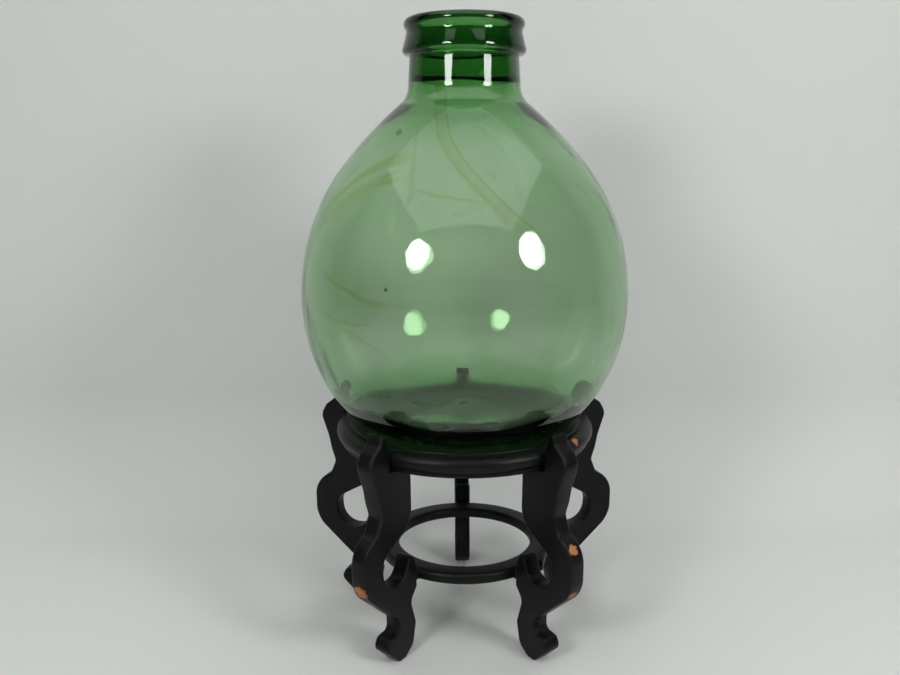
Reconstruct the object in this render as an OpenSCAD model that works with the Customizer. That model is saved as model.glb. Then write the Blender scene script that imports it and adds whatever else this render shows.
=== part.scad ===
// Wide-mouth glass carboy on its five-legged carved wooden stand.
// Millimetres, +Z up, floor at z = 0, carboy axis on the Z axis, one leg on +Y.

/* [Carboy] */
// Widest radius of the belly
belly_r = 169; // [140:0.5:200]
// Height of the widest line above the floor
belly_z = 358; // [300:1:420]
// Arc radius of the belly below the widest line
low_arc_r = 188; // [175:1:230]
// Arc radius of the belly above the widest line
high_arc_r = 218; // [190:1:260]
// Arc radius of the shoulder that runs up to the neck
shoulder_arc_r = 400; // [300:5:600]
// Angle above level at which belly turns into shoulder
shoulder_angle = 39.3; // [30:0.1:45]
// Arc radius between the belly and the resting face
foot_arc_r = 64; // [50:1:80]
// Glass thickness of the belly
wall = 2.2; // [1.6:0.1:6]
// Arc radius inside the shoulder, where the glass thickens towards the neck
shoulder_in_arc_r = 300; // [250:5:390]
// Arc radius inside the foot, where the glass thickens towards the base
foot_in_arc_r = 76; // [64:1:80]
// Glass thickness of the flat ring the carboy rests on
floor_wall = 6; // [4:0.5:8]
// Rise of the kick-up in the base
kick_rise = 10; // [4:0.5:20]
// Radius of the kick-up
kick_r = 54; // [35:1:60]
// Glass thickness over the kick-up
kick_wall = 6; // [4:0.5:12]

/* [Neck] */
// Outer radius at the foot of the neck
neck_r = 56.4; // [52:0.1:65]
// Outer radius of the neck just under the collar
neck_top_r = 54.9; // [50:0.1:60]
// Glass thickness at the foot of the neck, below the ledge
neck_wall = 5; // [3:0.5:8]
// Radius of the straight mouth bore
mouth_r = 44.5; // [38:0.5:52]
// Radius of the rounding from the bore up to the lip
mouth_round = 8; // [4:0.5:10]
// Height where the straight bore ends inside the neck
ledge_z = 577; // [574:0.5:590]
// Radius of the outer sweep from shoulder to neck
flare_r = 24; // [10:1:30]
// Widest radius of the collar under the lip
collar_r = 62; // [58:0.5:70]
// Collar radius where it meets the lip bead
collar_top_r = 57.8; // [56:0.1:64]
// Height of the underside of the collar
collar_z = 597.5; // [585:0.5:605]
// Rounding of the collar's lower edge
collar_round = 5; // [2:0.5:6]
// Height where collar ends and lip bead begins
collar_top_z = 618.5; // [612:0.5:620]
// Height of the centre of the round lip bead
lip_z = 626.7; // [620:0.1:640]
// Outer radius of the lip bead
lip_r = 60.3; // [57:0.1:66]

/* [Seat ring] */
// Outer radius of the seat ring
seat_r = 136.6; // [120:0.2:150]
// Radius of the opening in the seat ring
seat_hole_r = 62; // [40:1:90]
// Height of the seat ring's flat top
seat_top = 225; // [200:1:240]
// Thickness of the seat ring
seat_t = 21; // [14:1:30]
// Radius of the half-round moulding on the rim
seat_bead_r = 9; // [5:0.5:10]
// Radius where the lower step of the moulding stops
seat_step_r = 132; // [125:0.5:135]
// Radius of the turned groove on top
groove_at_r = 123; // [112:0.5:126]
// Radius of the turned dish the carboy rests in
dish_r = 104; // [100:0.5:110]

/* [Lower ring] */
// Inner radius of the lower ring
ring_in_r = 72.5; // [60:0.5:80]
// Outer radius of the lower ring between the legs
ring_out_r = 95; // [85:0.5:96]
// Height of the underside of the lower ring
ring_z = 76; // [72:0.5:80]
// Thickness of the lower ring
ring_t = 12; // [10:0.5:14]
// Rounding of the lower ring's edges
ring_round = 4.5; // [2:0.5:5]
// Step from the faces of the ring down to the faces of its lands and ear
ear_step = 0.6; // [0.4:0.1:1.5]
// Number of the leg whose land has the pointed ear, counted from the back leg
eared_leg = 3; // [0:1:4]

/* [Legs] */
// Number of legs
legs = 5; // [5]
// Thickness of each leg board
leg_t = 18; // [12:0.5:24]
// Reach of the knee from the carboy axis
knee_r = 176.5; // [165:0.5:185]
// Radius where the inner edge of a leg meets the lower ring
leg_in_r = 97; // [94:0.5:100]
// Height of the horn tips
horn_z = 243; // [235:0.5:250]

/* [Pegs] */
// Radius of the wooden pegs
peg_r = 3.5; // [2.5:0.1:5]
// Length of the wooden pegs
peg_l = 24; // [16:1:30]
// Distance of the upright pegs from the carboy axis
peg_at_r = 118; // [112:0.5:124]

/* [Hidden] */
$fn = 60;
rest_gap = 0.3;          // between carboy and dish
peg_gap = 0.05;          // around a peg in its hole
dish_floor = seat_top - 2.3;
base_z = dish_floor + rest_gap;
seat_z = seat_top - seat_t;
leg_step = 360 / legs;

// belly: three tangent arcs and a foot arc, all set by the sizes above
low_c = [belly_r - low_arc_r, belly_z];
high_c = [belly_r - high_arc_r, belly_z];
kick_arc_r = (kick_r * kick_r + kick_rise * kick_rise) / (2 * kick_rise);
kick_c = [0, base_z + kick_rise - kick_arc_r];
lip_round = 6;
ledge_round = 4;

// ---------------------------------------------------------------- glass

// points of an arc about c from angle a0 towards a1 in n steps, last one left out
function arc(c, r, a0, a1, n) =
    [for (k = [0:n - 1]) let (t = a0 + (a1 - a0) * k / n) c + r * [cos(t), sin(t)]];

function flip(v) = [for (i = [len(v) - 1:-1:0]) v[i]];

// belly from the resting face up to the neck, inset by t: its floor is raised by w,
// with a foot arc f, a shoulder arc sr, a neck radius nr and a sweep fr up to the neck
function belly(t, w, f, sr, nr, fr) =
    let (low_r = low_arc_r - t,
         foot_angle = asin((belly_z - base_z - w - f) / (low_r - f)),
         foot_c = low_c + (low_r - f) * [cos(foot_angle), -sin(foot_angle)],
         sc = high_c - (sr - high_arc_r + t) * [cos(shoulder_angle), sin(shoulder_angle)],
         reach = sr + fr, sweep_x = nr + fr,
         rise = acos((sweep_x - sc[0]) / reach),
         sweep_c = [sweep_x, sc[1] + reach * sin(rise)])
    concat(arc(foot_c, f, -90, -foot_angle, 6),
           arc(low_c, low_r, -foot_angle, 0, 8),
           arc(high_c, high_arc_r - t, 0, shoulder_angle, 9),
           arc(sc, sr, shoulder_angle, rise, 4),
           arc(sweep_c, fr, rise + 180, 180, 5), [[nr, sweep_c[1]]]);

// collar band, round lip bead and the rounding down into the bore
function collar() = concat(
    [[neck_top_r, collar_z]],
    arc([collar_r - collar_round, collar_z + collar_round], collar_round, -90, 0, 3),
    [[collar_r, collar_z + collar_round], [collar_top_r, collar_top_z]],
    arc([lip_r - lip_round, lip_z], lip_round, -50, 90, 6),
    arc([mouth_r + mouth_round, lip_z + lip_round - mouth_round], mouth_round, 90, 180, 5),
    [[mouth_r, lip_z + lip_round - mouth_round]]);

// the kick-up's arc from radius r in to the axis, raised by t
function kick(t, r) = concat(arc(kick_c, kick_arc_r + t, acos(r / (kick_arc_r + t)), 90, 5),
                             [kick_c + [0, kick_arc_r + t]]);

// ledge inside the neck, from the end of the bore out to the thinner wall below
function ledge() = concat(arc([mouth_r + ledge_round, ledge_z], ledge_round, 180, 250, 3),
                          [[neck_r - neck_wall, ledge_z - 5.8]]);

// closed half outline: under the base, up the outside, over the lip, down inside
function carboy_half() =
    let (floor_r = sqrt(pow(kick_arc_r + kick_wall, 2) - pow(base_z + floor_wall - kick_c[1], 2)))
    concat(flip(kick(0, kick_r)), belly(0, 0, foot_arc_r, shoulder_arc_r, neck_r, flare_r),
           collar(), ledge(),
           flip(belly(wall, floor_wall, foot_in_arc_r, shoulder_in_arc_r,
                      neck_r - neck_wall, flare_r + neck_wall)), kick(kick_wall, floor_r));

module glass_carboy() color([0.45, 0.66, 0.52, 0.4]) rotate_extrude() polygon(carboy_half());

// ---------------------------------------------------------------- rings

module seat_half() {
    difference() {
        union() {
            translate([seat_hole_r, seat_z]) square([seat_r - seat_bead_r - seat_hole_r, seat_t]);
            translate([seat_r - seat_bead_r, seat_top - seat_bead_r]) circle(seat_bead_r);
            translate([seat_hole_r, seat_z]) square([seat_step_r - seat_hole_r, seat_t - 2 * seat_bead_r + 1]);
        }
        translate([groove_at_r, seat_top + 0.6]) circle(1.8);
        polygon([[seat_hole_r - 1, dish_floor], [dish_r - 6, dish_floor], [dish_r, seat_top],
                 [dish_r, seat_top + 1], [seat_hole_r - 1, seat_top + 1]]);
    }
}

module seat_ring() color([0.09, 0.08, 0.08]) difference() {
    rotate_extrude() seat_half();
    for (i = [0:legs - 1]) rotate([0, 0, 90 + leg_step * i])
        translate([peg_at_r, 0, seat_z - 1]) cylinder(r = peg_r + peg_gap, h = peg_l / 2 + 1.1);
}

function ring_half() = concat(
    [[ring_in_r + ring_round, ring_z], [ring_out_r - ring_round, ring_z]],
    arc([ring_out_r - ring_round, ring_z + ring_round], ring_round, -68, 0, 3),
    arc([ring_out_r - ring_round, ring_z + ring_t - ring_round], ring_round, 0, 68, 3),
    [[ring_out_r - ring_round, ring_z + ring_t], [ring_in_r + ring_round, ring_z + ring_t]],
    arc([ring_in_r + ring_round, ring_z + ring_t - ring_round], ring_round, 112, 180, 3),
    arc([ring_in_r + ring_round, ring_z + ring_round], ring_round, 180, 248, 3));

// land of leg number i against the ring; one land runs out into a pointed ear
module land(i) {
    translate([0, 0, ring_z + ear_step]) linear_extrude(height = ring_t - 2 * ear_step)
        polygon(i == eared_leg
            ? [[70, 57], [78, 52], [101, 25], [95, 24], [90, 15], [leg_in_r, 8.5],
               [leg_in_r, -8.5], [70, -8.5]]
            : [[70, 8.5], [leg_in_r, 8.5], [leg_in_r, -8.5], [70, -8.5]]);
}

module lower_ring() color([0.08, 0.07, 0.07]) difference() {
    union() {
        rotate_extrude() polygon(ring_half());
        difference() {
            for (i = [0:legs - 1]) rotate([0, 0, 90 + leg_step * i]) land(i);
            translate([0, 0, ring_z - 1]) cylinder(r = ring_in_r + 8, h = ring_t + 2);
        }
    }
    for (i = [0:legs - 1]) rotate([0, 0, 90 + leg_step * i])
        translate([leg_in_r + 1, 0, ring_z + ring_t / 2]) rotate([0, -90, 0])
            cylinder(r = peg_r + peg_gap, h = peg_l / 2 + 1.1);
}

// ---------------------------------------------------------------- legs

function unit(v) = v / norm(v);

// points of one rounded corner q between neighbours p and s, radius f
function corner(p, q, s, f) = f == 0 ? [q] :
    let (a = unit(p - q), b = unit(s - q), h = acos(a * b) / 2,
         c = q + unit(a + b) * f / sin(h),
         u = q + a * f / tan(h) - c, v = q + b * f / tan(h) - c,
         t = atan2(u[1], u[0]), d = (atan2(v[1], v[0]) - t + 540) % 360 - 180,
         n = max(2, ceil(abs(d) / 10)))
    [for (k = [0:n]) c + f * [cos(t + d * k / n), sin(t + d * k / n)]];

// outline of a leg in its own plane: distance from the axis, height, rounding
leg_path = [
    // shelf under the seat ring, back of the horn, horn tip
    [105, seat_z, 3], [seat_r + 0.1, seat_z, 0], [seat_r + 0.1, seat_top, 0],
    [seat_r + 3.4, horn_z - 7, 3], [142, horn_z, 1.5], [149, horn_z, 1.5],
    // ledge, shoulder of the horn and the waist
    [150.5, horn_z - 8, 3], [160, horn_z - 15, 5], [166.5, horn_z - 27, 12],
    [158, 191, 30], [155, 176, 12], [150.5, 162, 7], [157, 146, 8],
    // knee, sweep in to the ankle, hooked toe
    [knee_r, 137, 26], [knee_r, 91, 30], [127, 46, 7], [127, 32, 6],
    [142, 30, 4], [147, 20, 7],
    // sole and inner side of the foot
    [127, 0, 2], [117, 0, 4], [104, 9, 12], [99, 32, 10], [107, 58, 10],
    // flat against the lower ring, small curl, mouth of the scroll
    [leg_in_r, 71, 2], [leg_in_r, 91, 2], [101, 106, 5], [110, 106, 4],
    [117, 85.5, 12], [147, 84, 20], [150, 118, 14], [104, 144, 25]];

function leg_outline() = let (n = len(leg_path)) [
    for (i = [0:n - 1])
        let (p = leg_path[(i + n - 1) % n], q = leg_path[i], s = leg_path[(i + 1) % n])
        each corner([p[0], p[1]], [q[0], q[1]], [s[0], s[1]], q[2])];

module leg(angle) color([0.1, 0.085, 0.08]) rotate([0, 0, angle]) difference() {
    rotate([90, 0, 0]) linear_extrude(height = leg_t, center = true) polygon(leg_outline());
    translate([peg_at_r, 0, seat_z - peg_l / 2 - 0.1])
        cylinder(r = peg_r + peg_gap, h = peg_l / 2 + 1.1);
    translate([leg_in_r - 1, 0, ring_z + ring_t / 2]) rotate([0, 90, 0])
        cylinder(r = peg_r + peg_gap, h = peg_l / 2 + 1.1);
}

module leg_back() leg(90);
module leg_left() leg(90 + leg_step);
module leg_front_left() leg(90 + 2 * leg_step);
module leg_front_right() leg(90 + 3 * leg_step);
module leg_right() leg(90 + 4 * leg_step);

// ---------------------------------------------------------------- pegs

module seat_peg(angle) color([0.5, 0.32, 0.18]) rotate([0, 0, angle])
    translate([peg_at_r, 0, seat_z - peg_l / 2]) cylinder(r = peg_r, h = peg_l);

module ring_peg(angle) color([0.5, 0.32, 0.18]) rotate([0, 0, angle])
    translate([leg_in_r - peg_l / 2, 0, ring_z + ring_t / 2]) rotate([0, 90, 0])
        cylinder(r = peg_r, h = peg_l);

glass_carboy();
seat_ring();
lower_ring();
leg_back();
leg_left();
leg_front_left();
leg_front_right();
leg_right();
seat_peg(90);  // seat_peg_back
seat_peg(90 + leg_step);  // seat_peg_left
seat_peg(90 + 2 * leg_step);  // seat_peg_front_left
seat_peg(90 + 3 * leg_step);  // seat_peg_front_right
seat_peg(90 + 4 * leg_step);  // seat_peg_right
ring_peg(90);  // ring_peg_back
ring_peg(90 + leg_step);  // ring_peg_left
ring_peg(90 + 2 * leg_step);  // ring_peg_front_left
ring_peg(90 + 3 * leg_step);  // ring_peg_front_right
ring_peg(90 + 4 * leg_step);  // ring_peg_right
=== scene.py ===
import math

import bmesh
import bpy
from mathutils import Matrix, Vector, noise


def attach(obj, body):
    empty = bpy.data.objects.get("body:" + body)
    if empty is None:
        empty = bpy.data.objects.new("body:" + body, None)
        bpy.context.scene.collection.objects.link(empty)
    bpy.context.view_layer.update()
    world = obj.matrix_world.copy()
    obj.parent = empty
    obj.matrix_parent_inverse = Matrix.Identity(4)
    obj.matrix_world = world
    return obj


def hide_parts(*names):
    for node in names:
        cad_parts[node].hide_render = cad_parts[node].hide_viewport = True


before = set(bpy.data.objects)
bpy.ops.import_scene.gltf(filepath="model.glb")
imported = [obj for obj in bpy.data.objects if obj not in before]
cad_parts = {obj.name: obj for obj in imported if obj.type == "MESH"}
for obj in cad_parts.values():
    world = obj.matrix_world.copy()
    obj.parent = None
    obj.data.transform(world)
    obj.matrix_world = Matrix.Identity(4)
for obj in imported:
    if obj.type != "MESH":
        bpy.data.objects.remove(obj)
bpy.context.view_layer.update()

MM = 0.001

# ------------------------------------------------------------------ sizes, mm

BELLY_R, BELLY_Z = 169.0, 358.0
LOW_ARC, HIGH_ARC = 188.0, 218.0
SHOULDER_ARC, SHOULDER_IN_ARC, SHOULDER_ANGLE = 400.0, 300.0, math.radians(39.3)
FOOT_ARC, FOOT_IN_ARC = 64.0, 76.0
WALL, FLOOR_WALL, KICK_WALL = 2.2, 6.0, 6.0
KICK_R, KICK_RISE = 54.0, 10.0
NECK_R, NECK_TOP_R, NECK_WALL, FLARE = 56.4, 54.9, 5.0, 24.0
MOUTH_R, MOUTH_ROUND, LEDGE_Z, LEDGE_ROUND = 44.5, 8.0, 577.0, 4.0
COLLAR_R, COLLAR_TOP_R, COLLAR_Z, COLLAR_TOP_Z, COLLAR_ROUND = 62.0, 57.8, 597.5, 618.5, 5.0
LIP_R, LIP_Z, LIP_ROUND = 60.3, 626.7, 6.0

SEAT_R, SEAT_HOLE_R, SEAT_TOP, SEAT_T, SEAT_BEAD = 136.6, 62.0, 225.0, 21.0, 9.0
SEAT_STEP_R, GROOVE_R, DISH_R = 132.0, 123.0, 104.0
DISH_FLOOR = SEAT_TOP - 2.3
BASE_Z = DISH_FLOOR + 0.3
SEAT_Z = SEAT_TOP - SEAT_T

RING_IN_R, RING_OUT_R, RING_Z, RING_T, RING_ROUND = 72.5, 95.0, 76.0, 12.0, 4.5
EAR_STEP = 0.6
LEG_T, KNEE_R, LEG_IN_R, HORN_Z = 18.0, 176.5, 97.0, 243.0
LEG_SIDES = ["back", "left", "front_left", "front_right", "right"]

# ------------------------------------------------------------- shader writing


class Value:
    """One output socket. Arithmetic on it adds Math nodes."""

    def __init__(self, finish, socket):
        self.finish, self.socket = finish, socket

    def maths(self, operation, a, b=None, c=None):
        inputs = {i: v for i, v in enumerate((a, b, c)) if v is not None}
        return self.finish.add("ShaderNodeMath", {"operation": operation}, inputs).out()

    def __add__(self, other):
        return self.maths("ADD", self, other)

    __radd__ = __add__

    def __sub__(self, other):
        return self.maths("SUBTRACT", self, other)

    def __rsub__(self, other):
        return self.maths("SUBTRACT", other, self)

    def __mul__(self, other):
        return self.maths("MULTIPLY", self, other)

    __rmul__ = __mul__

    def __truediv__(self, other):
        return self.maths("DIVIDE", self, other)

    def __rtruediv__(self, other):
        return self.maths("DIVIDE", other, self)

    def size(self):
        return self.maths("ABSOLUTE", self)

    def most(self, other):
        return self.maths("MAXIMUM", self, other)

    def step(self, low, high):
        """0 below low, 1 above high, smooth between; low may be above high."""
        ramp = self.finish.add(
            "ShaderNodeMapRange", {"interpolation_type": "SMOOTHSTEP", "clamp": True},
            {"Value": self, "From Min": min(low, high), "From Max": max(low, high)})
        value = ramp.out("Result")
        return value if low < high else 1.0 - value


class Made:
    """A node that was added, with its outputs by name or number."""

    def __init__(self, finish, node):
        self.finish, self.node = finish, node

    def out(self, key=0):
        return Value(self.finish, pick(self.node.outputs, key))


def pick(sockets, key):
    if isinstance(key, int):
        return sockets[key]
    for s in sockets:
        if s.identifier == key:
            return s
    return sockets[key]


class Finish:
    """A material and the one way to add a node to it."""

    def __init__(self, name):
        self.material = bpy.data.materials.new(name)
        self.material.use_nodes = True
        self.tree = self.material.node_tree
        self.tree.nodes.clear()
        self.output = self.tree.nodes.new("ShaderNodeOutputMaterial")

    def add(self, kind, settings=None, inputs=None):
        node = self.tree.nodes.new(kind)
        for key, value in (settings or {}).items():
            setattr(node, key, value)
        for key, value in (inputs or {}).items():
            socket = pick(node.inputs, key)
            if isinstance(value, Value):
                self.tree.links.new(value.socket, socket)
            else:
                socket.default_value = value
        return Made(self, node)

    def noise(self, at, scale, detail=2.0, roughness=0.5, distortion=0.0):
        return self.add("ShaderNodeTexNoise", {}, {
            "Vector": at, "Scale": scale, "Detail": detail,
            "Roughness": roughness, "Distortion": distortion}).out(0)

    def stretch(self, at, scale):
        return self.add("ShaderNodeMapping", {}, {"Vector": at, "Scale": scale}).out()

    def mix(self, share, a, b):
        return self.add("ShaderNodeMix", {"data_type": "RGBA"}, {
            "Factor_Float": share, "A_Color": a, "B_Color": b}).out("Result_Color")

    def here(self):
        return self.add("ShaderNodeTexCoord").out("Object")

    def distance(self, at, place):
        return self.add("ShaderNodeVectorMath", {"operation": "DISTANCE"},
                        {0: at, 1: place}).out("Value")

    def parts(self, at):
        split = self.add("ShaderNodeSeparateXYZ", {}, {"Vector": at})
        return split.out("X"), split.out("Y"), split.out("Z")

    def bump(self, height, strength, distance):
        return self.add("ShaderNodeBump", {}, {
            "Height": height, "Strength": strength, "Distance": distance}).out()

    def surface(self, made):
        self.tree.links.new(made.node.outputs[0], self.output.inputs["Surface"])

    def volume(self, made):
        self.tree.links.new(made.node.outputs[0], self.output.inputs["Volume"])


# ------------------------------------------------------------------- finishes


# climbing streaks: lowest and highest level in metres, angle round the axis
# over the way up, half width in radians, strength
CORDS = [
    (0.44, 0.605, lambda t: 0.27 - 1.19 * t + 0.16 * t * t, 0.028, 0.75),
    (0.43, 0.605, lambda t: 0.44 - 1.40 * t + 0.45 * t * t, 0.022, 0.75),
    (0.43, 0.605, lambda t: 0.355 - 1.29 * t + 0.30 * t * t, 0.09, 0.40),
    (0.455, 0.53, lambda t: -0.36 - 0.02 * t - 0.16 * t * t, 0.030, 0.45),
    (0.44, 0.56, lambda t: 1.10 - 0.85 * t, 0.06, 0.20)]

# streaks that run round: first and last angle, level over the way round,
# half width in metres, strength
VEINS = [
    (-1.12, -0.42, lambda t: 0.450 + 0.100 * t - 0.052 * t * t, 0.0080, 0.8),
    (-1.05, -0.48, lambda t: 0.440 + 0.078 * t - 0.030 * t * t, 0.0045, 0.6),
    (-0.92, -0.45, lambda t: 0.452 + 0.058 * t - 0.030 * t * t, 0.0050, 0.6),
    (-1.20, -0.60, lambda t: 0.430 + 0.060 * t - 0.010 * t * t, 0.0160, 0.40),
    (-0.40, 0.16, lambda t: 0.474 - 0.024 * t + 0.008 * t * t, 0.0028, 0.6),
    (-0.95, -0.40, lambda t: 0.394 - 0.034 * t + 0.016 * t * t, 0.0036, 0.6),
    (-0.95, -0.50, lambda t: 0.356 - 0.010 * t + 0.012 * t * t, 0.0025, 0.45),
    (-0.80, -0.42, lambda t: 0.346 - 0.020 * t * t, 0.0040, 0.30)]

# specks in the glass: place in metres, radius, darkness
SEEDS = [
    (-0.072, -0.149, 0.386, 0.0013, 1.0), (-0.053, -0.148, 0.303, 0.0012, 0.8),
    (0.021, -0.123, 0.471, 0.0009, 0.8), (0.070, -0.150, 0.330, 0.0008, 0.6),
    (-0.062, -0.072, 0.522, 0.0040, 0.5), (-0.113, -0.070, 0.462, 0.0040, 0.4)]

GLASS_TINTS = ((0.885, 0.925, 0.870, 1.0), (0.960, 0.965, 0.945, 1.0))
STREAK_COLOUR, SEED_COLOUR = (0.78, 0.80, 0.46, 1.0), (0.10, 0.13, 0.07, 1.0)
GLASS_IOR = 1.5
# what the glass takes out of the light on its way through, per metre
ABSORBED_TINT, ABSORBED = (0.07, 0.57, 0.0, 1.0), 190.0
# the foot is dull below these levels in metres
DULL_TOP, DULL_FULL = 0.248, 0.238


def green_glass():
    f = Finish("green_glass")
    at = f.here()
    x, y, z = f.parts(at)
    round_the_axis = f.add("ShaderNodeMath", {"operation": "ARCTAN2"}, {0: x, 1: 0.0 - y}).out()
    drift = f.noise(at, 9.0, 2.0) - 0.5
    fine = f.noise(at, 30.0, 2.0) - 0.5

    def cord(low, high, bend, width, strength):
        """A streak that climbs: bend gives its angle round the axis on the way up."""
        along = (z - low) / (high - low)
        off = (round_the_axis - bend(along) - drift * 0.10 - fine * 0.02).size()
        ends = along.step(-0.02, 0.08) * along.step(1.02, 0.9)
        return off.step(width, width * 0.15) * ends * strength

    def vein(start, end, height, width, strength):
        """A streak that runs round: height gives its level on the way."""
        along = (round_the_axis - start) / (end - start)
        off = (z - height(along) - drift * 0.022 - fine * 0.006).size()
        ends = along.step(-0.05, 0.15) * along.step(1.05, 0.8) * (0.0 - y).step(0.0, 0.02)
        return off.step(width, width * 0.2) * ends * strength

    lines = [cord(*row) for row in CORDS] + [vein(*row) for row in VEINS]
    streaks = lines[0]
    for line in lines[1:]:
        streaks = streaks.most(line)
    cloud = f.noise(f.stretch(at, (1.0, 1.0, 0.5)), 7.0, 3.0, 0.5, 0.4)

    body = f.mix(cloud, *GLASS_TINTS)
    tint = f.mix(streaks, body, STREAK_COLOUR)

    seeds = None
    for *place, size, dark in SEEDS:
        away = f.distance(at, place) + fine * size * 2.5
        spot = away.step(size * 1.3, size * 0.7) * dark
        seeds = spot if seeds is None else seeds.most(spot)
    tint = f.mix(seeds, tint, SEED_COLOUR)

    ripple = f.noise(f.stretch(at, (1.0, 1.0, 0.35)), 26.0, 2.0)
    rough = z.step(DULL_TOP, DULL_FULL) * (0.16 + cloud * 0.26)
    shader = f.add("ShaderNodeBsdfPrincipled", {}, {
        "Base Color": tint, "Roughness": rough, "IOR": GLASS_IOR,
        "Transmission Weight": 1.0, "Normal": f.bump(ripple, 0.10, 0.004)})
    f.surface(shader)
    depth = f.add("ShaderNodeVolumeAbsorption", {}, {
        "Color": ABSORBED_TINT, "Density": ABSORBED})
    f.volume(depth)
    return f.material


# worn-through spots: place of each in metres and its radius
CHIPS = [(-0.103, -0.143, 0.092, 0.0085), (-0.092, -0.127, 0.0735, 0.0030),
         (0.1010, -0.1410, 0.137, 0.0055), (0.101, -0.142, 0.088, 0.0050),
         (0.108, -0.078, 0.223, 0.0045)]


BLACK, BLACK_GRAIN = (0.0016, 0.0017, 0.0020, 1.0), (0.0042, 0.0041, 0.0042, 1.0)
# the lighter edge colour is partly worn lacquer and partly a painted highlight along the rounded edges
BROWN_BLOTCH, WORN_EDGE_AND_HIGHLIGHT = (0.0075, 0.0060, 0.0052, 1.0), (0.034, 0.027, 0.023, 1.0)
BARE_WOOD = ((0.30, 0.095, 0.035, 1.0), (0.56, 0.25, 0.11, 1.0))
WOOD_IOR, WOOD_SPECULAR = 1.38, 0.30


def black_wood(name, grain_scale):
    """Black lacquer over wood; grain_scale is smallest along the grain."""
    f = Finish(name)
    at = f.here()
    along = f.stretch(at, grain_scale)
    grain = f.noise(along, 60.0, 4.0, 0.6, 0.3)
    pores = f.noise(along, 220.0, 2.0, 0.6)
    blotch = f.noise(at, 14.0, 3.0, 0.55)
    dark = f.mix(grain.step(0.35, 0.7), BLACK, BLACK_GRAIN)
    dark = f.mix(blotch.step(0.45, 0.75) * 0.6, dark, BROWN_BLOTCH)
    # lighter colour on the edges: partly worn lacquer, partly a painted highlight where the rounded
    # edges catch the light
    wear_and_sheen = f.add("ShaderNodeAttribute", {"attribute_name": "wear_and_sheen"}).out("Fac")
    edge_patches = f.noise(at, 70.0, 3.0, 0.65) + f.noise(at, 18.0, 1.0) * 0.6
    edge_wear_and_sheen = wear_and_sheen * edge_patches.step(0.72, 1.0)
    colour = f.mix(edge_wear_and_sheen * 0.35, dark, WORN_EDGE_AND_HIGHLIGHT)
    warp = (f.noise(at, 190.0, 3.0, 0.6) - 0.5) * 0.010
    bare = None
    for *place, r in CHIPS:
        spot = (f.distance(at, place) + warp).step(r * 1.15, r * 0.85)
        bare = spot if bare is None else bare.most(spot)
    raw = f.mix(f.noise(along, 120.0, 3.0), *BARE_WOOD)
    colour = f.mix(bare, colour, raw)
    rough = (0.26 + blotch * 0.16 + grain * 0.10) + edge_wear_and_sheen * 0.08 + bare * 0.3
    height = grain * 0.6 + pores * 0.4 + f.noise(at, 35.0, 2.0) * 1.2 - bare * 1.5
    shader = f.add("ShaderNodeBsdfPrincipled", {}, {
        "Base Color": colour, "Roughness": rough, "IOR": WOOD_IOR,
        "Specular IOR Level": WOOD_SPECULAR,
        "Normal": f.bump(height, 0.35, 0.0006)})
    f.surface(shader)
    return f.material


def bare_wood():
    f = Finish("peg_wood")
    at = f.stretch(f.here(), (1.0, 1.0, 0.2))
    grain = f.noise(at, 180.0, 4.0, 0.6, 0.4)
    colour = f.mix(grain, (0.30, 0.16, 0.07, 1.0), (0.55, 0.36, 0.19, 1.0))
    f.surface(f.add("ShaderNodeBsdfPrincipled", {}, {
        "Base Color": colour, "Roughness": 0.6 + grain * 0.1,
        "Normal": f.bump(grain, 0.3, 0.0005)}))
    return f.material


def backdrop_paper():
    f = Finish("backdrop_paper")
    at = f.here()
    cloud = f.noise(at, 0.9, 1.0)
    colour = f.mix(cloud, (0.745, 0.745, 0.73, 1.0), (0.785, 0.785, 0.775, 1.0))
    f.surface(f.add("ShaderNodeBsdfPrincipled", {}, {
        "Base Color": colour, "Roughness": 0.75, "Specular IOR Level": 0.15}))
    return f.material


# ---------------------------------------------------------------- mesh making


def finished(bm, name, material):
    """Turns a bmesh into an object at the origin."""
    mesh = bpy.data.meshes.new(name)
    bm.to_mesh(mesh)
    bm.free()
    mesh.materials.append(material)
    obj = bpy.data.objects.new(name, mesh)
    bpy.context.scene.collection.objects.link(obj)
    return obj


def turned(outline, steps, closed=False, inside_from=None):
    """Spins an outline of (radius, height) in mm about the carboy's axis."""
    bm = bmesh.new()
    inner = bm.verts.layers.int.new("inner")
    verts = []
    for i, (r, h) in enumerate(outline):
        v = bm.verts.new((r * MM, 0, h * MM))
        v[inner] = int(inside_from is not None and i >= inside_from)
        verts.append(v)
    pairs = list(zip(verts, verts[1:])) + ([(verts[-1], verts[0])] if closed else [])
    edges = [bm.edges.new(p) for p in pairs]
    bmesh.ops.spin(bm, geom=verts + edges, cent=(0, 0, 0), axis=(0, 0, 1), dvec=(0, 0, 0),
                   angle=math.tau, steps=steps, use_merge=True, use_normal_flip=False,
                   use_duplicate=False)
    bmesh.ops.remove_doubles(bm, verts=bm.verts, dist=1e-6)
    bmesh.ops.recalc_face_normals(bm, faces=bm.faces)
    return bm


def smooth(bm, sharp=math.radians(50)):
    for face in bm.faces:
        face.smooth = True
    for edge in bm.edges:
        if len(edge.link_faces) == 2 and edge.calc_face_angle(0) > sharp:
            edge.smooth = False


def arc(centre, r, a0, a1, n):
    """Points of an arc without its last one."""
    return [(centre[0] + r * math.cos(a0 + (a1 - a0) * k / n),
             centre[1] + r * math.sin(a0 + (a1 - a0) * k / n)) for k in range(n)]


# ------------------------------------------------------------------ the glass

LOW_C = (BELLY_R - LOW_ARC, BELLY_Z)
HIGH_C = (BELLY_R - HIGH_ARC, BELLY_Z)
KICK_ARC = (KICK_R ** 2 + KICK_RISE ** 2) / (2 * KICK_RISE)
KICK_C = (0.0, BASE_Z + KICK_RISE - KICK_ARC)


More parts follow.
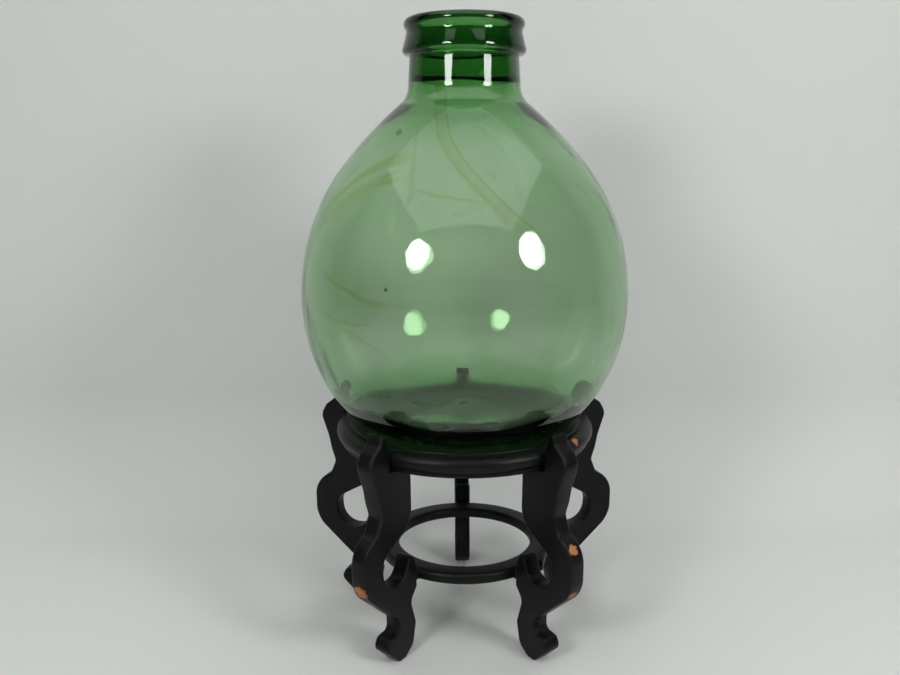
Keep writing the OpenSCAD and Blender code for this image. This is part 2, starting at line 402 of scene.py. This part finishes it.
def belly(inset, floor, foot, shoulder, neck, sweep):
    """From the resting face up to the neck, as in the part's own outline."""
    low = LOW_ARC - inset
    foot_angle = math.asin((BELLY_Z - BASE_Z - floor - foot) / (low - foot))
    foot_c = (LOW_C[0] + (low - foot) * math.cos(foot_angle),
              LOW_C[1] - (low - foot) * math.sin(foot_angle))
    k = shoulder - HIGH_ARC + inset
    sc = (HIGH_C[0] - k * math.cos(SHOULDER_ANGLE), HIGH_C[1] - k * math.sin(SHOULDER_ANGLE))
    reach, sweep_x = shoulder + sweep, neck + sweep
    rise = math.acos((sweep_x - sc[0]) / reach)
    sweep_c = (sweep_x, sc[1] + reach * math.sin(rise))
    return (arc(foot_c, foot, -math.pi / 2, -foot_angle, 14)
            + arc(LOW_C, low, -foot_angle, 0, 20)
            + arc(HIGH_C, HIGH_ARC - inset, 0, SHOULDER_ANGLE, 24)
            + arc(sc, shoulder, SHOULDER_ANGLE, rise, 10)
            + arc(sweep_c, sweep, rise + math.pi, math.pi, 10)
            + [(neck, sweep_c[1])])


def kick(raised, r):
    big = KICK_ARC + raised
    return arc(KICK_C, big, math.acos(r / big), math.pi / 2, 10) + [(0.0, KICK_C[1] + big)]


def between(a, b, n):
    """Points on a straight stretch, without its ends."""
    return [(a[0] + (b[0] - a[0]) * k / n, a[1] + (b[1] - a[1]) * k / n) for k in range(1, n)]


def share(x):
    return max(0.0, min(1.0, x))


# levels in metres: heavy waves inside below the first, thick ring in the neck
# between the next two, uneven rim above the last
WAVY_BELOW, NECK_WAVES_FROM, NECK_WAVES_TO, RIM_FROM = 0.33, 0.56, 0.61, 0.590
RIM_TOP = (LIP_Z + LIP_ROUND - 0.2) * MM
AXIS_CLEAR = 2 * MM


def make_uneven(bm):
    """Moves the points a little, as in glass blown by hand."""
    layer = bm.verts.layers.int["inner"]
    for v in bm.verts:
        r = math.hypot(v.co.x, v.co.y)
        if r < AXIS_CLEAR:
            continue
        out = Vector((v.co.x, v.co.y, 0)) / r
        h = v.co.z
        if v[layer]:
            low = share((WAVY_BELOW - h) / 0.09)
            high = share((h - NECK_WAVES_FROM) / 0.01) * share((NECK_WAVES_TO - h) / 0.02)
            amount = 0.45 + 1.3 * low + 0.6 * high
            d = noise.noise(v.co * 15 + Vector((3, 1, 7))) + 0.5 * noise.noise(v.co * 40)
            v.co += out * d * amount * MM
            v.co.z += (noise.noise(v.co * 18) * 1.6 * low
                       + noise.noise(v.co * 22) * 2.2 * high) * MM
        else:
            d = noise.noise(v.co * 9) * 0.35 - 0.35
            if h > RIM_FROM:
                dip = noise.noise(Vector((v.co.x, v.co.y, 0)) * 16) * 0.8 * MM
                v.co.z += dip * share((RIM_TOP - h) / 0.01)
            v.co += out * d * MM


def glass_carboy():
    outer = belly(0.0, 0.0, FOOT_ARC, SHOULDER_ARC, NECK_R, FLARE)
    inner = belly(WALL, FLOOR_WALL, FOOT_IN_ARC, SHOULDER_IN_ARC,
                  NECK_R - NECK_WALL, FLARE + NECK_WALL)
    floor_r = math.sqrt((KICK_ARC + KICK_WALL) ** 2 - (BASE_Z + FLOOR_WALL - KICK_C[1]) ** 2)
    half = math.pi / 2
    neck_top = (NECK_TOP_R, COLLAR_Z - 1.2)
    bore_top = (MOUTH_R, LIP_Z + LIP_ROUND - MOUTH_ROUND)
    collar = (between(outer[-1], neck_top, 8) + [neck_top, (NECK_TOP_R + 0.6, COLLAR_Z - 0.3)]
              + arc((COLLAR_R - COLLAR_ROUND, COLLAR_Z + COLLAR_ROUND), COLLAR_ROUND, -half, 0, 7)
              + [(COLLAR_R, COLLAR_Z + COLLAR_ROUND)]
              + between((COLLAR_R, COLLAR_Z + COLLAR_ROUND), (COLLAR_TOP_R, COLLAR_TOP_Z), 5)
              + [(COLLAR_TOP_R, COLLAR_TOP_Z)]
              + arc((LIP_R - LIP_ROUND, LIP_Z), LIP_ROUND, math.radians(-48), half, 13)
              + arc((MOUTH_R + MOUTH_ROUND, bore_top[1]), MOUTH_ROUND, half, math.pi, 10)
              + [bore_top])
    bore_end = (MOUTH_R, LEDGE_Z)
    ledge = (between(bore_top, bore_end, 10)
             + arc((MOUTH_R + LEDGE_ROUND, LEDGE_Z), LEDGE_ROUND, math.pi, math.radians(250), 6)
             + [(MOUTH_R + 2.63, LEDGE_Z - 3.76), (NECK_R - NECK_WALL - 0.8, LEDGE_Z - 5.5),
                (NECK_R - NECK_WALL, LEDGE_Z - 6.3)])
    outside = (kick(0.0, KICK_R)[::-1]
               + between((KICK_R, BASE_Z), (outer[0][0], BASE_Z), 4) + outer + collar)
    inside = (ledge + inner[::-1]
              + between(inner[0], (floor_r, BASE_Z + FLOOR_WALL), 4) + kick(KICK_WALL, floor_r))
    bm = turned(outside + inside, 192, inside_from=len(outside))
    make_uneven(bm)
    smooth(bm, math.radians(75))
    obj = finished(bm, "blown_glass", GLASS)
    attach(obj, "carboy")
    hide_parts("glass_carboy")


# ------------------------------------------------------------------ the rings


def seat_ring():
    half = math.pi / 2
    bead = (SEAT_R - SEAT_BEAD, SEAT_TOP - SEAT_BEAD)
    outline = ([(SEAT_HOLE_R, SEAT_Z + 1.5), (SEAT_HOLE_R + 1.5, SEAT_Z),
                (SEAT_STEP_R - 2.0, SEAT_Z)]
               + arc((SEAT_STEP_R - 2.0, SEAT_Z + 2.0), 2.0, -half, 0, 4)
               + [(SEAT_STEP_R, SEAT_Z + 2.0), (SEAT_STEP_R, SEAT_Z + 3.4)]
               + arc(bead, SEAT_BEAD, math.radians(-62), half, 16)
               + [(bead[0], SEAT_TOP)]
               + arc((GROOVE_R, SEAT_TOP + 0.5), 2.0, math.radians(-14), math.radians(-166), 8)
               + [(GROOVE_R - 2.0, SEAT_TOP), (DISH_R + 0.8, SEAT_TOP),
                  (DISH_R - 0.6, SEAT_TOP - 0.5),
                  (DISH_R - 5.4, DISH_FLOOR + 0.2), (DISH_R - 6.6, DISH_FLOOR),
                  (SEAT_HOLE_R + 1.5, DISH_FLOOR), (SEAT_HOLE_R, DISH_FLOOR - 1.5)])
    bm = turned(outline, 160, closed=True)
    # bead, step and groove edges are painted lighter: partly wear, partly a painted highlight
    mark_wear_and_sheen(bm, lambda r, h: max(bump_at(r, SEAT_R, 2.0) * bump_at(h, 220, 5.0) * 0.6,
                                  bump_at(r, SEAT_STEP_R, 1.4) * bump_at(h, SEAT_Z, 2.0),
                                  bump_at(r, GROOVE_R + 2.4, 1.2) * bump_at(h, SEAT_TOP, 1.0)))
    smooth(bm)
    obj = finished(bm, "turned_seat_ring", TURNED_WOOD)
    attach(obj, "stand")
    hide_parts("seat_ring")


def bump_at(x, centre, width):
    """1 at the centre, falling to 0 at width away."""
    return max(0.0, 1.0 - abs(x - centre) / width)


def mark_wear_and_sheen(bm, amount):
    """Writes how far the finish is rubbed and how strong the painted edge highlight is, from the radius
    and height in mm.
    """
    layer = bm.verts.layers.float.new("wear_and_sheen")
    for v in bm.verts:
        v[layer] = amount(math.hypot(v.co.x, v.co.y) / MM, v.co.z / MM)


# the land of every leg, and the one that runs out into an ear; ends inside the
# ring are left sharp
PLAIN_LAND = [(81, 8.5), (LEG_IN_R, 8.5), (LEG_IN_R, -8.5), (81, -8.5)]
EARED_LAND = [(79, 51), (101, 25), (95, 24), (90, 15), (LEG_IN_R, 8.5),
              (LEG_IN_R, -8.5), (81, -8.5)]
EAR_SHARP, EAR_BURIED_R = 0.6, 81.0


def lower_ring():
    half = math.pi / 2
    top, low_r, high_r = RING_Z + RING_T, RING_IN_R + RING_ROUND, RING_OUT_R - RING_ROUND
    outline = (arc((high_r, RING_Z + RING_ROUND), RING_ROUND, -half, 0, 8)
               + [(RING_OUT_R, RING_Z + RING_ROUND)]
               + arc((high_r, top - RING_ROUND), RING_ROUND, 0, half, 8) + [(high_r, top)]
               + arc((low_r, top - RING_ROUND), RING_ROUND, half, math.pi, 8)
               + [(RING_IN_R, top - RING_ROUND)]
               + arc((low_r, RING_Z + RING_ROUND), RING_ROUND, math.pi, math.pi + half, 8)
               + [(low_r, RING_Z)])
    bm = turned(outline, 144, closed=True)
    for i, side in enumerate(LEG_SIDES):
        corners = EARED_LAND if side == "front_right" else PLAIN_LAND
        ear = bmesh.new()
        base = [ear.verts.new((a * MM, b * MM, (RING_Z + EAR_STEP) * MM)) for a, b in corners]
        face = ear.faces.new(base)
        grown = bmesh.ops.extrude_face_region(ear, geom=[face])
        bmesh.ops.translate(ear, vec=(0, 0, (RING_T - 2 * EAR_STEP) * MM),
                            verts=[v for v in grown["geom"] if isinstance(v, bmesh.types.BMVert)])
        bmesh.ops.recalc_face_normals(ear, faces=ear.faces)
        sharp = [e for e in ear.edges if e.calc_face_angle(0) > EAR_SHARP
                 and max(v.co.x for v in e.verts) > EAR_BURIED_R * MM]
        bmesh.ops.bevel(ear, geom=sharp, offset=1.6 * MM, offset_type="OFFSET",
                        affect="EDGES", segments=3, profile=0.5, material=-1,
                        clamp_overlap=True)
        turn = Matrix.Rotation(math.radians(90 + 72 * i), 4, "Z")
        bmesh.ops.transform(ear, matrix=turn, verts=ear.verts)
        scrap = bpy.data.meshes.new("scrap")
        ear.to_mesh(scrap)
        ear.free()
        bm.from_mesh(scrap)
        bpy.data.meshes.remove(scrap)
    # outer top edge painted lighter: partly wear, partly a painted highlight
    mark_wear_and_sheen(bm, lambda r, h: (bump_at(r, RING_OUT_R - 1.5, 2.5)
                               * bump_at(h, top - 1.0, 3.0) * 0.8))
    smooth(bm, math.radians(40))
    obj = finished(bm, "eared_lower_ring", TURNED_WOOD)
    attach(obj, "stand")
    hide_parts("lower_ring")


# ------------------------------------------------------------------- the legs

# distance from the axis, height, rounding of each corner, all in mm
LEG_CORNERS = [
    (105, SEAT_Z, 3), (SEAT_R + 0.1, SEAT_Z, 0), (SEAT_R + 0.1, SEAT_TOP, 0),
    (SEAT_R + 3.4, HORN_Z - 7, 3), (142, HORN_Z, 2.4), (149, HORN_Z, 2.4),
    (150.5, HORN_Z - 8, 3), (160, HORN_Z - 15, 5), (166.5, HORN_Z - 27, 12),
    (158, 191, 30), (155, 176, 12), (150.5, 162, 7), (157, 146, 8),
    (KNEE_R, 137, 26), (KNEE_R, 91, 30), (127, 46, 7), (127, 32, 6),
    (142, 30, 4), (147, 20, 7),
    (127, 0, 2.4), (117, 0, 4), (104, 9, 12), (99, 32, 10), (107, 58, 10),
    (LEG_IN_R, 71, 2), (LEG_IN_R, 91, 2), (101, 106, 5), (110, 106, 4),
    (117, 85.5, 12), (147, 84, 20), (150, 118, 14), (104, 144, 25)]


def leg(side, number):
    bm = bmesh.new()
    verts = [bm.verts.new((r * MM, LEG_T / 2 * MM, h * MM)) for r, h, _ in LEG_CORNERS]
    bm.faces.new(verts)
    count = len(verts)
    for i, (r, h, rounding) in enumerate(LEG_CORNERS):
        if not rounding:
            continue
        here = Vector((r, h))
        a = (Vector(LEG_CORNERS[i - 1][:2]) - here).normalized()
        b = (Vector(LEG_CORNERS[(i + 1) % count][:2]) - here).normalized()
        half = math.acos(max(-1.0, min(1.0, a.dot(b)))) / 2
        turn = math.pi - 2 * half
        bmesh.ops.bevel(bm, geom=[verts[i]], offset=rounding / math.tan(half) * MM,
                        offset_type="OFFSET", affect="VERTICES", profile=0.5, material=-1,
                        segments=max(3, round(math.degrees(turn) / 7)), clamp_overlap=False)
    face = bm.faces[:]
    grown = bmesh.ops.extrude_face_region(bm, geom=face)
    bmesh.ops.translate(bm, vec=(0, -LEG_T * MM, 0),
                        verts=[v for v in grown["geom"] if isinstance(v, bmesh.types.BMVert)])
    bmesh.ops.recalc_face_normals(bm, faces=bm.faces)
    caps = [f for f in bm.faces if len(f.verts) > 20]
    rims = list({e for f in caps for e in f.edges})
    # the rounded rims get the lighter edge colour: partly wear, partly a painted highlight
    wear_and_sheen = bm.loops.layers.float.new("wear_and_sheen")
    made = bmesh.ops.bevel(bm, geom=rims, offset=2.2 * MM, offset_type="OFFSET", affect="EDGES",
                           segments=4, profile=0.5, material=-1, clamp_overlap=False)
    for f in made["faces"]:
        for loop in f.loops:
            loop[wear_and_sheen] = 1.0
    for f in bm.faces:
        f.smooth = len(f.verts) <= 20
    for e in bm.edges:
        if len(e.link_faces) == 2 and e.calc_face_angle(0) > math.radians(48):
            e.smooth = False
    turn = Matrix.Rotation(math.radians(90 + 72 * number), 4, "Z")
    bmesh.ops.transform(bm, matrix=turn, verts=bm.verts)
    obj = finished(bm, "scrolled_leg_" + side, LEG_WOOD)
    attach(obj, "stand")
    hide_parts("leg_" + side)


# ----------------------------------------------------------- stage and camera


# each softbox: name, place and aim in metres, radius, brightness
SOFTBOXES = [
    ("left_softbox", (-0.740, -1.132, 0.948), (-0.039, -0.155, 0.42), 0.205, 17.8),
    ("right_softbox", (0.962, -0.943, 0.948), (0.06, -0.149, 0.42), 0.235, 16.2)]
# width, depth, place along y, height in metres, brightness
CEILING_LIGHT = (3.4, 3.0, -0.85, 2.4, 1.05)
ROOM_BRIGHTNESS = 0.05


def sweep():
    """Paper that runs from the floor up behind the object."""
    bm = bmesh.new()
    depth, rise, bend = 0.35, 2.6, 0.16
    line = ([(-4.0, 0.0), (0.0, 0.0)]
            + arc((depth - bend, bend), bend, -math.pi / 2, 0, 16)
            + [(depth, bend), (depth, rise)])
    verts = [bm.verts.new((-3.5, y, z)) for y, z in line]
    edges = [bm.edges.new(p) for p in zip(verts, verts[1:])]
    grown = bmesh.ops.extrude_edge_only(bm, edges=edges)
    bmesh.ops.translate(bm, vec=(7.0, 0, 0),
                        verts=[v for v in grown["geom"] if isinstance(v, bmesh.types.BMVert)])
    for f in bm.faces:
        f.smooth = True
    finished(bm, "paper_sweep", backdrop_paper())


def softbox(name, place, target, radius, strength):
    """Eight-sided lamp with folds in its cloth, shut at the back."""
    bm = bmesh.new()
    bmesh.ops.create_circle(bm, segments=16, radius=radius, cap_ends=True, cap_tris=True)
    fold = bm.verts.layers.float.new("fold")
    rim = [v for v in bm.verts if v.co.length > radius / 2]
    for v in rim:
        step = round(math.atan2(v.co.y, v.co.x) / (math.tau / 16))
        if step % 2:
            v.co *= math.cos(math.tau / 16)
        else:
            v[fold] = 1.0
    front = bm.faces[:]
    back = bmesh.ops.extrude_edge_only(
        bm, edges=[e for e in bm.edges if e.is_boundary])
    moved = [v for v in back["geom"] if isinstance(v, bmesh.types.BMVert)]
    bmesh.ops.scale(bm, vec=(0.3, 0.3, 1.0), verts=moved)
    bmesh.ops.translate(bm, vec=(0, 0, radius * 0.7), verts=moved)
    bmesh.ops.contextual_create(bm, geom=[
        e for e in back["geom"] if isinstance(e, bmesh.types.BMEdge) and e.is_boundary])
    for face in bm.faces:
        face.material_index = 0 if face in front else 1
    aim = (Vector(target) - Vector(place)).to_track_quat("-Z", "Y").to_matrix().to_4x4()
    aim.translation = Vector(place)
    bmesh.ops.transform(bm, matrix=aim, verts=bm.verts)
    glow = Finish(name + "_cloth")
    folds = glow.add("ShaderNodeAttribute", {"attribute_name": "fold"}).out("Fac")
    glow.surface(glow.add("ShaderNodeEmission", {}, {
        "Color": (0.97, 1.0, 0.985, 1.0),
        "Strength": (folds.step(0.55, 0.9) * -0.35 + 1.0) * strength}))
    case = Finish(name + "_case")
    case.surface(case.add("ShaderNodeBsdfPrincipled", {}, {
        "Base Color": (0.01, 0.01, 0.01, 1.0), "Roughness": 0.8}))
    obj = finished(bm, name, glow.material)
    obj.data.materials.append(case.material)


def ceiling_light(width, depth, y, z, brightness):
    """Wide pale panel overhead."""
    data = bpy.data.lights.new("ceiling_light", "AREA")
    data.shape, data.size, data.size_y = "RECTANGLE", width, depth
    data.energy = brightness * math.pi * width * depth
    data.color = (0.97, 1.0, 0.99)
    lamp = bpy.data.objects.new("ceiling_light", data)
    lamp.location = (0, y, z)
    bpy.context.scene.collection.objects.link(lamp)


def camera():
    """Stands in front, a little above the belly, looking down."""
    focal_px, pitch, height, back = 863.7, math.radians(11.73), 0.4982, 0.8963
    yaw, roll, side, turn = math.radians(0.62), math.radians(-0.21), -0.0055, math.radians(-1.0)
    ahead = Vector((-math.sin(yaw) * math.cos(pitch), math.cos(yaw) * math.cos(pitch), -math.sin(pitch)))
    right = Vector((math.cos(yaw), math.sin(yaw), 0))
    up = right.cross(ahead)
    across = right * math.cos(roll) + up * math.sin(roll)
    upward = up * math.cos(roll) - right * math.sin(roll)
    place = Matrix((across, upward, -ahead)).transposed().to_4x4()
    place.translation = Vector((side, -back, height))
    data = bpy.data.cameras.new("camera")
    data.sensor_fit, data.sensor_width, data.lens = "HORIZONTAL", 36.0, 36.0 * focal_px / 900
    data.clip_start, data.clip_end = 0.05, 30
    cam = bpy.data.objects.new("camera", data)
    cam.matrix_world = Matrix.Rotation(turn, 4, "Z") @ place
    bpy.context.scene.collection.objects.link(cam)
    bpy.context.scene.camera = cam


def room_light():
    world = bpy.data.worlds.new("room")
    world.use_nodes = True
    background = world.node_tree.nodes["Background"]
    background.inputs["Color"].default_value = (0.97, 0.99, 1.0, 1.0)
    background.inputs["Strength"].default_value = ROOM_BRIGHTNESS
    bpy.context.scene.world = world


GLASS = green_glass()
TURNED_WOOD = black_wood("black_turned_wood", (1.0, 1.0, 5.0))
LEG_WOOD = black_wood("black_leg_wood", (1.0, 1.0, 0.14))
PEG_WOOD = bare_wood()

glass_carboy()
seat_ring()
lower_ring()
for number, side in enumerate(LEG_SIDES):
    leg(side, number)
for name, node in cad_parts.items():
    if "peg" in name:
        node.data.materials.clear()
        node.data.materials.append(PEG_WOOD)

sweep()
camera()
room_light()
for lamp in SOFTBOXES:
    softbox(*lamp)
ceiling_light(*CEILING_LIGHT)
bpy.context.scene.view_settings.view_transform = "Standard"
